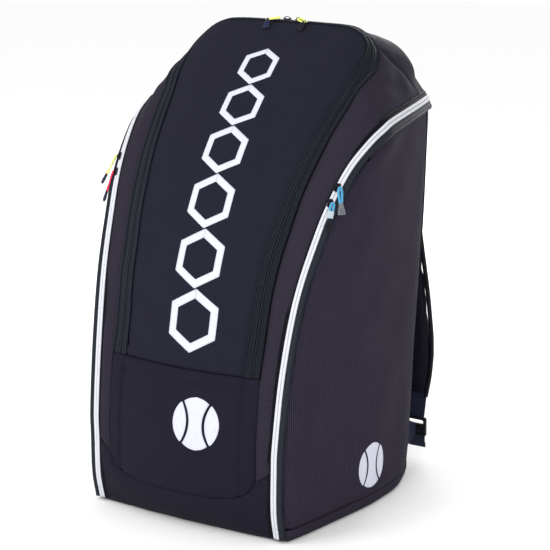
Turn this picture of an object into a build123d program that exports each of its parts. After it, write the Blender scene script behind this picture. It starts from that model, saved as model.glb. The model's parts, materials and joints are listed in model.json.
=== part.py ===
"""Racket backpack: one compartment behind a front flap, a racket compartment at each side, two straps.

Millimetres. The bag stands on its base at z = 0, its front faces -Y and +X is its right side seen
from the front. The walls are cut from one smooth shell, so neighbouring panels meet along seams.
"""

import os
from math import cos, radians, sin

from build123d import *

os.makedirs("parts", exist_ok=True)

# Driving dimensions of the shell
WALL = 3.0  # fabric with foam
SEAM = 0.6  # gap between pieces that move apart
LINING_GAP = 0.3
LINING = 1.0
CLEAR = 6.0  # inside face kept free for the partitions
PROUD = 1.2  # how far the side zippers stand out
HOOD_WALL = 1.3  # the sloping top's wall, measured upwards, in walls

# Main zipper
RIDGE_Y = 62.0  # where the flap ends on top of the bag
HINGE_Z = 195.0
OPENING_RISE = 0.58  # rise per forward step as the flap's top leaves the bag
TAPE = 15.5
TOP_TAPE = 9.3

# Side doors
DOOR_BACK_Y = 164.4
BASE_EDGE = 16.0
ZIP_HALF = 4.2
ZIP_FACE = 5.0  # how far a side zipper reaches across the front from its corner
DOOR_DEPTH = 20.0
SHOULDER_Y = -5.0
DOOR_TAPE = 8.0
DOOR_SEAM = 1.0
SHOULDER_Z = 478.0

# Back and straps
BACK_Y = 170.0
YOKE_BOTTOM = 486.0
YOKE_TOP = 546.0
STRAP_THICK = 13.0
WEBBING = 25.0

# height, centre y, panel edge (x, y), front corner (x, y), bulge, flank (x, y), back corner (x, y)
BODY = [
    (0, -157, (88, -154), (133, -147), 6, (153, 26), (109, BACK_Y)),
    (56, -179, (88, -170), (133, -159), 8, (156, 26), (115, BACK_Y)),
    (125, -176, (89, -166), (134, -157), 8, (156, 28), (119, BACK_Y)),
    (205, -164, (87, -154), (137, -146), 9, (156, 30), (124, BACK_Y)),
    (289, -146, (90, -138), (143, -127), 9, (157, 32), (130, BACK_Y)),
    (359, -121, (96, -114), (152, -99), 8, (160, 36), (134, BACK_Y)),
    (438, -76, (107, -70), (166, -53), 6, (167, 50), (137, BACK_Y)),
    (SHOULDER_Z, -46, (114, -39), (179, -2), 1, (166, 76), (137, BACK_Y)),
]
HOOD = [
    BODY[-1],
    (500, -24, (119, -16), (160, 2), 2, (152, 82), (125, BACK_Y)),
    (528, 8, (126, 15), (141, 24), 2, (137, 90), (117, BACK_Y)),
    (552, 38, (124, 45), (132, 54), 1, (122, 100), (101, 165)),
    (570, 54, (100, 58), (112, 68), 1, (101, 92), (72, 118)),
    (582, 63, (72, 64), (80, 67), 0, (79, 71), (72, 76)),
]

# Panel edge of the flap on the right side, from the hinge line up to the top corner (x, y, z)
FLAP_EDGE = [
    (87, -158, 190),
    (89, -139, 285),
    (97, -109, 374),
    (107, -67, 442),
    (119, -15, 501),
    (129, 40, 546),
]
CORNER = (80, 583)

# Middle of the side zipper seen from the side (y, z)
SIDE_ZIP = [
    (-150, -10),
    (-158, 56),
    (-157, 122),
    (-146, 205),
    (-127, 289),
    (-99, 359),
    (-53, 438),
    (0, 478),
    (60, 485),
    (180, 490),
]

BELOW = -40
ABOVE = 640
FAR = 300


def finish(piece, label):
    """Names a piece and writes it to its own file."""
    piece.label = label
    export_step(piece, f"parts/{label}.step")


def at_height(z, value):
    """A section value at height z, between the sections above and below."""
    for low, high in zip(BODY, BODY[1:]):
        if low[0] <= z <= high[0]:
            share = (z - low[0]) / (high[0] - low[0])
            return value(low) + share * (value(high) - value(low))
    return value(BODY[-1])


def section(row, inset, z):
    """A closed outline of the bag at one height, moved inwards by inset."""
    _, centre_y, edge, corner, bulge, flank, back = row
    front_y = centre_y + inset
    edge_x, edge_y = edge[0] - inset / 2, edge[1] + inset
    corner_x, corner_y = corner[0] - 1.2 * inset, corner[1] + 1.1 * inset
    swell = ((3 * corner_x + flank[0] - inset) / 4 + bulge * 0.8, (3 * corner_y + flank[1]) / 4)
    flank_x = flank[0] - inset
    back_x, back_y = back[0] - inset, back[1] - inset
    with BuildSketch(Plane.XY.offset(z)) as outline:
        with BuildLine():
            Spline(
                (-corner_x, corner_y),
                (-edge_x, edge_y),
                (0, front_y),
                (edge_x, edge_y),
                (corner_x, corner_y),
            )
            Spline((corner_x, corner_y), swell, (flank_x, flank[1]), (back_x, back_y))
            Line((back_x, back_y), (-back_x, back_y))
            Spline((-back_x, back_y), (-flank_x, flank[1]), (-swell[0], swell[1]), (-corner_x, corner_y))
        make_face()
    return outline.sketch


def body(inset):
    """The whole bag as a solid, inset from its outside by a wall thickness."""
    with BuildPart() as trunk:
        for row in BODY:
            low = inset if row is BODY[0] else row[0]
            add(section(row, inset, low))
        loft()
    with BuildPart() as whole:
        add(trunk.part)
        with BuildPart(mode=Mode.PRIVATE) as top:
            for number, row in enumerate(HOOD):
                rise = number / (len(HOOD) - 1)
                add(section(row, inset * (1 - rise), row[0] - HOOD_WALL * inset * rise))
            loft(ruled=True)
        add(top.part)
    return whole.part


def band_outline(extra):
    """The flap's outline seen along its opening direction, widened by extra, as corner points."""
    right = []
    for x, y, z in FLAP_EDGE:
        narrowing = 1 - 0.25 * (z / FLAP_EDGE[-1][2]) ** 4
        right.append((x + extra * narrowing, z + OPENING_RISE * (y - RIDGE_Y)))
    return [(right[0][0], BELOW)] + right


def flap_zone(extra, ridge_y, low_z):
    """The flap's region widened by extra, ending at ridge_y on top and at low_z at the bottom."""
    right = band_outline(extra)
    left = [(-x, z) for x, z in reversed(right)]
    last = right[-1]
    corner = (CORNER[0], CORNER[1] + extra)
    with BuildPart() as zone:
        with BuildSketch(Plane.XZ.offset(-RIDGE_Y)):
            with BuildLine():
                Spline(right)
                Bezier(last, (last[0] + 2, corner[1] - 9), (corner[0] + 30, corner[1]), corner)
                Line(corner, (-corner[0], corner[1]))
                Bezier(
                    (-corner[0], corner[1]),
                    (-corner[0] - 30, corner[1]),
                    (-last[0] - 2, corner[1] - 9),
                    (-last[0], last[1]),
                )
                Spline(left)
                Line((-right[0][0], BELOW), (right[0][0], BELOW))
            make_face()
        extrude(amount=2 * FAR, dir=(0, -1, OPENING_RISE), both=True)
        with BuildSketch(Plane.YZ.offset(-FAR)):
            with BuildLine():
                Polyline(
                    (-FAR, low_z),
                    (30, low_z),
                    (30, 532 - 0.65 * extra),
                    (41 + 0.39 * extra, 546 - 0.77 * extra),
                    (58 + 0.71 * extra, 560 - 0.45 * extra),
                    (ridge_y, 568),
                    (ridge_y, ABOVE),
                    (-FAR, ABOVE),
                    close=True,
                )
            make_face()
        extrude(amount=2 * FAR, mode=Mode.INTERSECT)
    return zone.part


def zip_line(shift):
    """The middle of the side zipper seen from the side, moved forwards and up by shift."""
    return [(y - shift, z + shift) for y, z in SIDE_ZIP]


def side_band(front_shift, rear_shift, low_z, high_z, rear_y):
    """A band along the side zippers, between two shifts of their middle line."""
    front, rear = zip_line(front_shift), zip_line(rear_shift)
    with BuildPart() as zone:
        with BuildSketch(Plane.YZ.offset(-FAR)):
            with BuildLine():
                Spline(front)
                Line(front[-1], rear[-1])
                Spline(list(reversed(rear)))
                Line(rear[0], front[0])
            make_face()
        extrude(amount=2 * FAR)
        with BuildSketch(Plane.YZ.offset(-FAR)):
            with Locations((rear_y, low_z)):
                Rectangle(2 * FAR, high_z - low_z, align=(Align.MAX, Align.MIN))
        extrude(amount=2 * FAR, mode=Mode.INTERSECT)
    return zone.part


def side_zone(shift, low_z, rear_y):
    """Everything behind and below the side zippers' middle line moved by shift, on both sides."""
    edge = zip_line(shift)
    with BuildPart() as zone:
        with BuildSketch(Plane.YZ.offset(-FAR)):
            with BuildLine():
                Spline(edge)
                Polyline(edge[-1], (FAR, edge[-1][1]), (FAR, edge[0][1]), edge[0])
            make_face()
        extrude(amount=2 * FAR)
        with BuildSketch(Plane.YZ.offset(-FAR)):
            with Locations((rear_y, low_z)):
                Rectangle(4 * FAR, ABOVE - low_z, align=(Align.MAX, Align.MIN))
        extrude(amount=2 * FAR, mode=Mode.INTERSECT)
    return zone.part


def slab(x, y, z):
    """A box between two limits on each axis."""
    with BuildPart() as zone:
        with Locations(((x[0] + x[1]) / 2, (y[0] + y[1]) / 2, (z[0] + z[1]) / 2)):
            Box(x[1] - x[0], y[1] - y[0], z[1] - z[0])
    return zone.part


def panel(wall, keep, remove=()):
    """The part of a wall inside every keep region and outside every remove region."""
    with BuildPart() as piece:
        add(wall)
        for zone in keep:
            add(zone, mode=Mode.INTERSECT)
        for zone in remove:
            add(zone, mode=Mode.SUBTRACT)
    return piece.part


def half(side):
    """The half of space on one side of the bag: side is 1 for right and -1 for left."""
    return slab(sorted((0, side * FAR)), (-FAR, FAR), (BELOW, ABOVE))


def corner_zone():
    """Everything outside the bag's front corners, and everything behind its shoulders."""
    edge = [(row[3][0] - ZIP_FACE, row[0]) for row in BODY]
    with BuildPart() as zone:
        for side in SIDES.values():
            with BuildSketch(Plane.XZ.offset(-SHOULDER_Y)):
                with BuildLine():
                    Polyline(
                        (side * edge[0][0], BELOW),
                        *[(side * x, z) for x, z in edge],
                        (side * edge[-1][0], ABOVE),
                        (side * FAR, ABOVE),
                        (side * FAR, BELOW),
                        close=True,
                    )
                make_face()
            extrude(amount=FAR)
        add(slab((-FAR, FAR), (SHOULDER_Y, FAR), (BELOW, ABOVE)))
    return zone.part


SIDES = {"left": -1, "right": 1}

# The walls: one shell of panels, a lining inside it, and a shell that stands proud for the side zippers
outside = body(0)
inside = body(WALL)
shell = panel(outside, [], [inside])
lining_shell = panel(body(WALL + LINING_GAP), [], [body(WALL + LINING_GAP + LINING)])
proud_shell = panel(body(-PROUD), [slab((-FAR, FAR), (-FAR, FAR), (0, ABOVE))], [inside])

# Regions of the walls
HINGE_SEAM = HINGE_Z + SEAM
flap_panel_zone = flap_zone(0, RIDGE_Y, HINGE_SEAM)
flap_body_zone = flap_zone(TAPE, RIDGE_Y + TOP_TAPE, HINGE_SEAM)
flap_gap_zone = flap_zone(TAPE + SEAM, RIDGE_Y + TOP_TAPE + SEAM, BELOW)
opening_zone = flap_zone(2 * TAPE, RIDGE_Y + 2 * TOP_TAPE, HINGE_Z - SEAM)
outer_corners = corner_zone()
front_zone = panel(
    slab((-FAR, FAR), (-FAR, FAR), (4, SHOULDER_Z)),
    [],
    [panel(side_zone(ZIP_HALF, BELOW, 2 * FAR), [outer_corners]), side_zone(-DOOR_DEPTH, BELOW, 2 * FAR)],
)
upper_zone = panel(
    slab((-FAR, FAR), (-FAR, FAR), (SHOULDER_Z, ABOVE)),
    [],
    [side_zone(ZIP_HALF, BELOW, 2 * FAR)],
)
back_zone = slab((-FAR, FAR), (DOOR_BACK_Y + SEAM, FAR), (BASE_EDGE, 515))
door_zone = panel(side_zone(-DOOR_SEAM, BASE_EDGE + SEAM, DOOR_BACK_Y), [outer_corners])
door_panel_zone = side_zone(-ZIP_HALF - DOOR_TAPE, BASE_EDGE + SEAM, DOOR_BACK_Y)
bag_zip_zone = panel(side_band(ZIP_HALF, 0, 4, ABOVE, DOOR_BACK_Y), [outer_corners])

# Lower front: a panel under the flap, and a bottom panel below a curved seam
LOWER_HALF = 118
SEAM_CENTRE_Z = 52
SEAM_SIDE_Z = 76


def below_curved_seam():
    """Everything under the curved seam across the lower front."""
    with BuildPart() as zone:
        with BuildSketch(Plane.XZ.offset(-FAR)):
            with BuildLine():
                Spline(
                    (-FAR / 2, SEAM_SIDE_Z + 14),
                    (-115, SEAM_SIDE_Z),
                    (-70, SEAM_CENTRE_Z),
                    (0, SEAM_CENTRE_Z - 4),
                    (70, SEAM_CENTRE_Z),
                    (115, SEAM_SIDE_Z),
                    (FAR / 2, SEAM_SIDE_Z + 14),
                )
                Polyline(
                    (FAR / 2, SEAM_SIDE_Z + 14),
                    (FAR / 2, BELOW),
                    (-FAR / 2, BELOW),
                    (-FAR / 2, SEAM_SIDE_Z + 14),
                )
            make_face()
        extrude(amount=2 * FAR)
    return zone.part


bottom_zone = below_curved_seam()
lower_zone = slab((-LOWER_HALF, LOWER_HALF), (-FAR, 0), (BELOW, HINGE_Z - SEAM))

# Flap
finish(panel(shell, [flap_panel_zone]), "front_flap")
finish(panel(shell, [flap_body_zone], [flap_panel_zone]), "main_zipper_flap_tape")
finish(panel(lining_shell, [flap_zone(-5, RIDGE_Y - 6, HINGE_SEAM + 6)]), "front_flap_lining")

# Fixed front
finish(panel(shell, [opening_zone], [flap_gap_zone]), "main_zipper_outer_tape")
finish(panel(shell, [front_zone, lower_zone], [bottom_zone]), "front_lower_panel")
finish(panel(shell, [front_zone, bottom_zone]), "front_bottom_panel")
for name, side in SIDES.items():
    border = panel(shell, [front_zone, half(side)], [opening_zone, lower_zone, bottom_zone, flap_gap_zone])
    finish(border, f"front_border_{name}")

# Top
TOP_HALF = 75
TOP_FRONT_Y = RIDGE_Y + 2 * TOP_TAPE
top_zone = slab((-TOP_HALF, TOP_HALF), (TOP_FRONT_Y, FAR), (515, ABOVE))
finish(panel(shell, [top_zone]), "top_panel")
for name, side in SIDES.items():
    gusset = panel(shell, [upper_zone, half(side)], [opening_zone, flap_gap_zone, top_zone, back_zone])
    finish(gusset, f"shoulder_gusset_{name}")

# Back and base
finish(panel(shell, [back_zone]), "back_panel")
base_wall = panel(shell, [slab((-FAR, FAR), (-FAR, FAR), (BELOW, BASE_EDGE))], [front_zone, bag_zip_zone])
finish(base_wall, "base_panel")
with BuildPart() as stiffener:
    with BuildSketch(Plane.XY.offset(WALL + 0.2)):
        RectangleRounded(180, 280, 12)
    extrude(amount=2.5)
finish(stiffener.part, "base_stiffener")

# Sides: half of the zipper on the bag, and a door with the other half and its lining
LINING_EDGE = 4
for name, side in SIDES.items():
    finish(panel(proud_shell, [bag_zip_zone, half(side)]), f"{name}_zip_bag_tape")
    finish(panel(proud_shell, [door_zone, half(side)], [door_panel_zone]), f"{name}_zip_door_tape")
    finish(panel(shell, [door_panel_zone, half(side)]), f"{name}_side_panel")
    lining_shift = -ZIP_HALF - DOOR_TAPE - LINING_EDGE
    lining_zone = side_zone(lining_shift, BASE_EDGE + LINING_EDGE, DOOR_BACK_Y - LINING_EDGE)
    finish(panel(lining_shell, [lining_zone, half(side)]), f"{name}_side_lining")

# Partitions between the main compartment and the racket compartments
PARTITION_X = 96
PARTITION_THICK = 2
free_space = body(CLEAR)
for name, side in SIDES.items():
    low, high = sorted((side * PARTITION_X, side * (PARTITION_X + PARTITION_THICK)))
    finish(panel(free_space, [slab((low, high), (-FAR, FAR), (BELOW, ABOVE))]), f"partition_{name}")

# Back padding, strap yoke
PAD_THICK = 11
PAD_GAP = 0.4
PAD_TOP = 462
for name, side in SIDES.items():
    with BuildPart() as pad:
        with BuildSketch(Plane.XZ.offset(-BACK_Y - PAD_GAP)):
            with Locations((side * 52, (225 + PAD_TOP) / 2)):
                RectangleRounded(78, PAD_TOP - 225, 18)
        extrude(amount=-PAD_THICK)
        fillet(pad.faces().sort_by(Axis.Y)[-1].edges(), 4)
    finish(pad.part, f"back_pad_{name}")
with BuildPart() as lumbar:
    with BuildSketch(Plane.XZ.offset(-BACK_Y - PAD_GAP)):
        with Locations((0, 145)):
            RectangleRounded(182, 110, 22)
    extrude(amount=-PAD_THICK)
    fillet(lumbar.faces().sort_by(Axis.Y)[-1].edges(), 4)
finish(lumbar.part, "lumbar_pad")
with BuildPart() as yoke:
    with BuildSketch(Plane.XZ.offset(-BACK_Y - PAD_GAP)):
        with Locations((0, (YOKE_BOTTOM + YOKE_TOP) / 2)):
            RectangleRounded(176, YOKE_TOP - YOKE_BOTTOM, 8)
    extrude(amount=-2.6)
finish(yoke.part, "strap_yoke")

# Shoulder straps: seen from the side, and seen from behind (right strap)
# outer face y, inner edge x, outer edge x, height
STRAP = [
    (192, 38, 88, 490),
    (204, 38, 92, 455),
    (209, 46, 98, 400),
    (208, 55, 107, 330),
    (211, 62, 113, 279),
    (219, 66, 117, 224),
    (228, 68, 118, 168),
    (231, 72, 117, 139),
    (230, 79, 115, 112),
    (226, 86, 112, 85),
]
STRAP_SIDE = [(y, z) for y, _, _, z in STRAP]
LOCK_X = 99
LOCK_Y = 209
LOCK_TOP = 60
LOCK_BOTTOM = 34
for name, side in SIDES.items():
    inner = [(side * x, z) for _, x, _, z in STRAP]
    outer = [(side * x, z) for _, _, x, z in STRAP]
    hidden = [(y - STRAP_THICK, z) for y, z in STRAP_SIDE]
    with BuildPart() as strap:
        with BuildSketch(Plane.YZ.offset(-FAR)):
            with BuildLine():
                Spline(STRAP_SIDE)
                Line(STRAP_SIDE[-1], hidden[-1])
                Spline(list(reversed(hidden)))
                Line(hidden[0], STRAP_SIDE[0])
            make_face()
        extrude(amount=2 * FAR)
        with BuildSketch(Plane.XZ.offset(-FAR)):
            with BuildLine():
                Spline(inner)
                Line(inner[-1], outer[-1])
                Spline(list(reversed(outer)))
                Line(outer[0], inner[0])
            make_face()
        extrude(amount=2 * FAR, mode=Mode.INTERSECT)
    finish(strap.part, f"{name}_strap_pad")
    with BuildPart() as webbing:
        with BuildSketch(Plane.YZ.offset(side * LOCK_X - WEBBING / 2)):
            with BuildLine():
                Polyline(
                    (217, 84.6),
                    (219.4, 84.6),
                    (214.2, LOCK_TOP + 0.4),
                    (211.8, LOCK_TOP + 0.4),
                    close=True,
                )
            make_face()
        extrude(amount=WEBBING)
    finish(webbing.part, f"{name}_strap_webbing")
    with BuildPart() as lock:
        with BuildSketch(Plane.XZ.offset(-LOCK_Y)):
            with Locations((side * LOCK_X, (LOCK_TOP + LOCK_BOTTOM) / 2)):
                RectangleRounded(33, LOCK_TOP - LOCK_BOTTOM, 3)
            with Locations((side * LOCK_X, LOCK_BOTTOM + 6.5), (side * LOCK_X, LOCK_TOP - 6.5)):
                SlotOverall(26, 5, mode=Mode.SUBTRACT)
        extrude(amount=-5)
    finish(lock.part, f"{name}_ladder_lock")
    with BuildPart() as tail:
        with Locations((side * LOCK_X, LOCK_Y + 6.6, 31)):
            Box(WEBBING, 1.8, 30)
    finish(tail.part, f"{name}_webbing_tail")
    with BuildPart() as wing:
        with BuildSketch(Plane.YZ.offset(side * LOCK_X - 1.5)):
            with BuildLine():
                Polyline(
                    (BACK_Y + PAD_GAP, 16),
                    (BACK_Y + PAD_GAP, 68),
                    (LOCK_Y - SEAM, 52),
                    (LOCK_Y - SEAM, 38),
                    close=True,
                )
            make_face()
        extrude(amount=3)
    finish(wing.part, f"{name}_strap_wing")

# Grab handle: a webbing loop with a sleeve, hanging on the back
HANDLE_Y = 177
HANDLE_TOP = 548
HANDLE_BOTTOM = 498
with BuildPart() as handle:
    with BuildSketch(Plane.XZ.offset(-HANDLE_Y)):
        with Locations((0, HANDLE_BOTTOM)):
            Rectangle(104, HANDLE_TOP - HANDLE_BOTTOM, align=(Align.CENTER, Align.MIN))
        with Locations((0, HANDLE_BOTTOM + 20)):
            Rectangle(64, HANDLE_TOP, align=(Align.CENTER, Align.MIN), mode=Mode.SUBTRACT)
    extrude(amount=-2.2)
    fillet(handle.edges().filter_by(Axis.Y).group_by(Axis.Z)[0], 10)
finish(handle.part, "handle_webbing")
with BuildPart() as sleeve:
    with BuildSketch(Plane.YZ.offset(-30)):
        with Locations((HANDLE_Y + 1.1, HANDLE_BOTTOM + 10)):
            RectangleRounded(7.6, 26, 3)
            Rectangle(2.8, 20.6, mode=Mode.SUBTRACT)
    extrude(amount=60)
finish(sleeve.part, "handle_sleeve")

# Zipper sliders with cord pulls
SLIDER = (11, 8.4, 2.6)
BRIDGE = 1.6


def slider(place, label):
    """A zipper slider: a body with a bridge, lying in the plane of place, with X along the zipper."""
    length, width, height = SLIDER
    with BuildPart() as made:
        with BuildSketch(place):
            RectangleRounded(length, width, 2)
        extrude(amount=height)
        with BuildSketch(place.offset(height)):
            Rectangle(length - 3, 2.6)
        extrude(amount=BRIDGE)
        with BuildSketch(place.offset(height)):
            Rectangle(length - 6, 2.6)
        extrude(amount=BRIDGE / 2, mode=Mode.SUBTRACT)
    finish(made.part, label)


def pull(cord_place, end_place, label, cord_long):
    """A cord loop hanging along the X of its place from the hinge, and a moulded end on its own place."""
    with BuildPart() as cord:
        with BuildSketch(cord_place.offset(-1)):
            with Locations((cord_long / 2, 0)):
                SlotOverall(cord_long, 5.4)
                SlotOverall(cord_long - 3.6, 1.8, mode=Mode.SUBTRACT)
        extrude(amount=2)
    finish(cord.part, f"{label}_cord")
    with BuildPart() as end:
        with BuildSketch(end_place.offset(-1.8)):
            with Locations((PULL_END / 2 + 0.2, 0)):
                RectangleRounded(PULL_END, 9, 2.4)
        extrude(amount=3.6)
    finish(end.part, f"{label}_end")


PULL_END = 13
TOP_SLIDER_X = 9
TOP_SLIDER_Z = 583.4
TOP_HINGE_Y = 62
TOP_CORD = 15
TOP_TURN = 3.0  # room where the moulded end turns away from its cord
for name, side in SIDES.items():
    place = Plane(
        origin=(side * TOP_SLIDER_X, RIDGE_Y + TOP_TAPE, TOP_SLIDER_Z),
        x_dir=(1, 0, 0),
        z_dir=(0, 0, 1),
    )
    slider(place, f"top_slider_{name}")
    hinge = Vector(side * (TOP_SLIDER_X + 5), TOP_HINGE_Y, TOP_SLIDER_Z + 4)
    cord_place = Plane(origin=hinge, x_dir=(side * 0.9, -0.4, -0.15), z_dir=(0, -0.3511, 0.9363))
    drop = hinge + cord_place.x_dir * (TOP_CORD + TOP_TURN)
    end_place = Plane(origin=drop, x_dir=(-side * 0.2, -0.64, -0.75), z_dir=(0, -0.76, 0.6485))
    pull(cord_place, end_place, f"top_pull_{name}", TOP_CORD)

SIDE_SLIDERS = {"left": (399, 417), "right": (395, 412)}
SIDE_CORD = {"left": 26, "right": 18}
SIDE_TILT = {"left": (18, 28), "right": (4, 4)}  # degrees from hanging straight down
SLIDER_CLEAR = 3.2
HINGE_OUT = 5.8
for name, side in SIDES.items():
    for place_name, height, tilt in zip(("lower", "upper"), SIDE_SLIDERS[name], SIDE_TILT[name]):
        corner_x = at_height(height, lambda row: row[3][0])
        corner_y = at_height(height, lambda row: row[3][1])
        along = Vector(side * 0.16, 0.51, 0.845).normalized()
        outwards = Vector(side * 0.8, -0.6, 0.2107).normalized()
        origin = Vector(side * corner_x, corner_y, height) + outwards * SLIDER_CLEAR
        slider(Plane(origin=origin, x_dir=along, z_dir=outwards), f"{name}_slider_{place_name}")
        hinge = origin + outwards * HINGE_OUT
        level = Vector(side * 0.8, -0.6, 0)
        hang = level * sin(radians(tilt)) - Vector(0, 0, cos(radians(tilt)))
        face = level * cos(radians(tilt)) + Vector(0, 0, sin(radians(tilt)))
        cord_place = Plane(origin=hinge, x_dir=hang, z_dir=face)
        end_place = Plane(origin=hinge + hang * SIDE_CORD[name], x_dir=hang, z_dir=face)
        pull(cord_place, end_place, f"{name}_pull_{place_name}", SIDE_CORD[name])
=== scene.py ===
"""Looks of a racket backpack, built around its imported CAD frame. Shapes below are in millimetres."""

import json
import math

import bmesh
import bpy
import numpy as np
from mathutils import Matrix, Vector

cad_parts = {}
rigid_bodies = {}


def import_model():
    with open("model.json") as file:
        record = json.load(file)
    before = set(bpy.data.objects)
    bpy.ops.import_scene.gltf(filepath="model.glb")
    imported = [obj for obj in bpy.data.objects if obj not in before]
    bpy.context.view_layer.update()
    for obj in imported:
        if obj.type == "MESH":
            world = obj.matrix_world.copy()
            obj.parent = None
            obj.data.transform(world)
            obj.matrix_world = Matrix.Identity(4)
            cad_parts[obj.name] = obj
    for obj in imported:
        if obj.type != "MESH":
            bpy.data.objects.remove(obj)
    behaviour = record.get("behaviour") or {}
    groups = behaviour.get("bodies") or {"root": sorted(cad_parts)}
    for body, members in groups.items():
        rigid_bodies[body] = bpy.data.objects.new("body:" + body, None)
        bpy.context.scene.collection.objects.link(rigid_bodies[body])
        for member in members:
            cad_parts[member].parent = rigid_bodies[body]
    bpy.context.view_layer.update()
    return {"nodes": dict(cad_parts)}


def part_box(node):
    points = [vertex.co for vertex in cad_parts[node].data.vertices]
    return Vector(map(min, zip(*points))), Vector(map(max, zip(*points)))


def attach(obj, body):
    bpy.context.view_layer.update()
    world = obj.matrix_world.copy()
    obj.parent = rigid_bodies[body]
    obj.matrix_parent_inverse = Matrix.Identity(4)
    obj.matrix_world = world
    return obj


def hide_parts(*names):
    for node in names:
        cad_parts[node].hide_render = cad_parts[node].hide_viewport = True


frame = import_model()

MM = 0.001
SIDES = {"left": -1, "right": 1}
SPLINE_STEPS = 24
# Thicknesses of cloth, in millimetres
FRONT_THICK = 3.0
SIDE_THICK = 2.6
LINING_THICK = 0.8
MAIN_ZIP_THICK = 2.4
SIDE_ZIP_THICK = 1.1
PARTITION_THICK = 1.4


# ---- curves and grids


def spline(points, count, even=True):
    """A smooth curve through the points, as count + 1 rows, evenly spaced if even."""
    p = np.array(points, float)
    ends = np.vstack([2 * p[0] - p[1], p, 2 * p[-1] - p[-2]])
    fine = []
    t = (np.arange(SPLINE_STEPS) / SPLINE_STEPS)[:, None]
    for i in range(len(p) - 1):
        a, b, c, d = ends[i : i + 4]
        bend = (2 * a - 5 * b + 4 * c - d) * t**2 + (3 * b - a - 3 * c + d) * t**3
        fine.append(0.5 * (2 * b + (c - a) * t + bend))
    fine = np.vstack(fine + [p[-1:]])
    if even:
        at = np.r_[0, np.cumsum(np.linalg.norm(np.diff(fine[:, :3], axis=0), axis=1))]
    else:
        at = np.linspace(0, 1, len(fine))
    want = np.linspace(0, at[-1], count + 1)
    return np.stack([np.interp(want, at, fine[:, k]) for k in range(p.shape[1])], 1)


def mirrored(points, side):
    """The points moved to the other side of the bag when side is -1."""
    return np.array(points, float) * np.array([side, 1, 1])


def loft(rails, across, along):
    """A grid through several curves laid side by side: rows run along them, columns across."""
    lines = np.stack([spline(r, along) for r in rails], 1)
    return np.stack([spline(row, across, even=False) for row in lines], 0)


def coons(low, high, left, right, across, along):
    """A grid between four curves that share their corners."""
    lo, hi = spline(low, across), spline(high, across)
    le, ri = spline(left, along), spline(right, along)
    u = np.linspace(0, 1, across + 1)[None, :, None]
    v = np.linspace(0, 1, along + 1)[:, None, None]
    ruled = (1 - v) * lo[None] + v * hi[None] + (1 - u) * le[:, None] + u * ri[:, None]
    corners = (
        (1 - u) * (1 - v) * lo[0] + u * (1 - v) * lo[-1] + (1 - u) * v * hi[0] + u * v * hi[-1]
    )
    return ruled - corners


def normals(grid):
    """Unit normals of a grid, to the side that its columns and rows turn to."""
    du = np.gradient(grid, axis=1)
    dv = np.gradient(grid, axis=0)
    n = np.cross(du, dv)
    return n / np.maximum(np.linalg.norm(n, axis=2, keepdims=True), 1e-9)


def lengths(grid):
    """Distances in millimetres across and along a grid, measured from its first column and row."""
    across = np.linalg.norm(np.diff(grid, axis=1), axis=2)
    along = np.linalg.norm(np.diff(grid, axis=0), axis=2)
    x = np.concatenate([np.zeros((len(grid), 1)), np.cumsum(across, 1)], 1)
    y = np.concatenate([np.zeros((1, grid.shape[1])), np.cumsum(along, 0)], 0)
    return x, y


def edge_distances(grid):
    """Distances in millimetres from each point of a grid to its low, high, left and right edges."""
    x, y = lengths(grid)
    return [y, y[-1:] - y, x, x[:, -1:] - x]


def edge_distance(grid):
    """Distance in millimetres from each point of a grid to its nearest edge."""
    return np.minimum.reduce(edge_distances(grid))


def ripple(x, y, waves, seed):
    """A smooth random height between about -1 and 1, with waves of those millimetres in x and y."""
    own = np.random.default_rng(seed)
    total = np.zeros_like(x)
    count = 14
    for _ in range(count):
        turn = own.uniform(-1, 1, 2) * 2 * math.pi / np.array(waves)
        total += np.sin(x * turn[0] + y * turn[1] + own.uniform(0, 2 * math.pi))
    return total / math.sqrt(count)


def sewn(
    grid, crown=2.0, dip=1.4, roll=5.0, wrinkle=0.0, waves=(60, 60), seed=1, extra=None, seams=(1, 1, 1, 1)
):
    """The grid swollen between its seams: it sinks at its edges, by dip times seams, and rises between."""
    d = edge_distance(grid)
    top = max(d.max(), 1)
    sunk = [share * np.exp(-((e / roll) ** 2)) for share, e in zip(seams, edge_distances(grid))]
    height = crown * np.sqrt(np.clip(d / top, 0, 1)) - dip * np.maximum.reduce(sunk)
    if wrinkle:
        x, y = lengths(grid)
        height = height + wrinkle * ripple(x, y, waves, seed) * (1 - np.exp(-d / 12))
    if extra is not None:
        height = height + extra
    return grid + normals(grid) * height[..., None]


# ---- meshes


def linked(name, data):
    """A new object in the scene."""
    obj = bpy.data.objects.new(name, data)
    bpy.context.scene.collection.objects.link(obj)
    return obj


def set_lie(mesh, lie):
    """Writes a mesh's cloth coordinates, in millimetres, in the attribute lie."""
    layer = mesh.attributes.get("lie") or mesh.attributes.new("lie", "FLOAT_VECTOR", "POINT")
    layer.data.foreach_set("vector", np.asarray(lie, np.float32).ravel())


def add_mesh(name, verts, faces, lie):
    """A smooth mesh object from millimetre points, with its cloth coordinates."""
    mesh = bpy.data.meshes.new(name)
    mesh.from_pydata([tuple(c * MM for c in v) for v in verts], [], faces)
    mesh.update()
    mesh.polygons.foreach_set("use_smooth", [True] * len(mesh.polygons))
    set_lie(mesh, lie)
    return linked(name, mesh)


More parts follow.
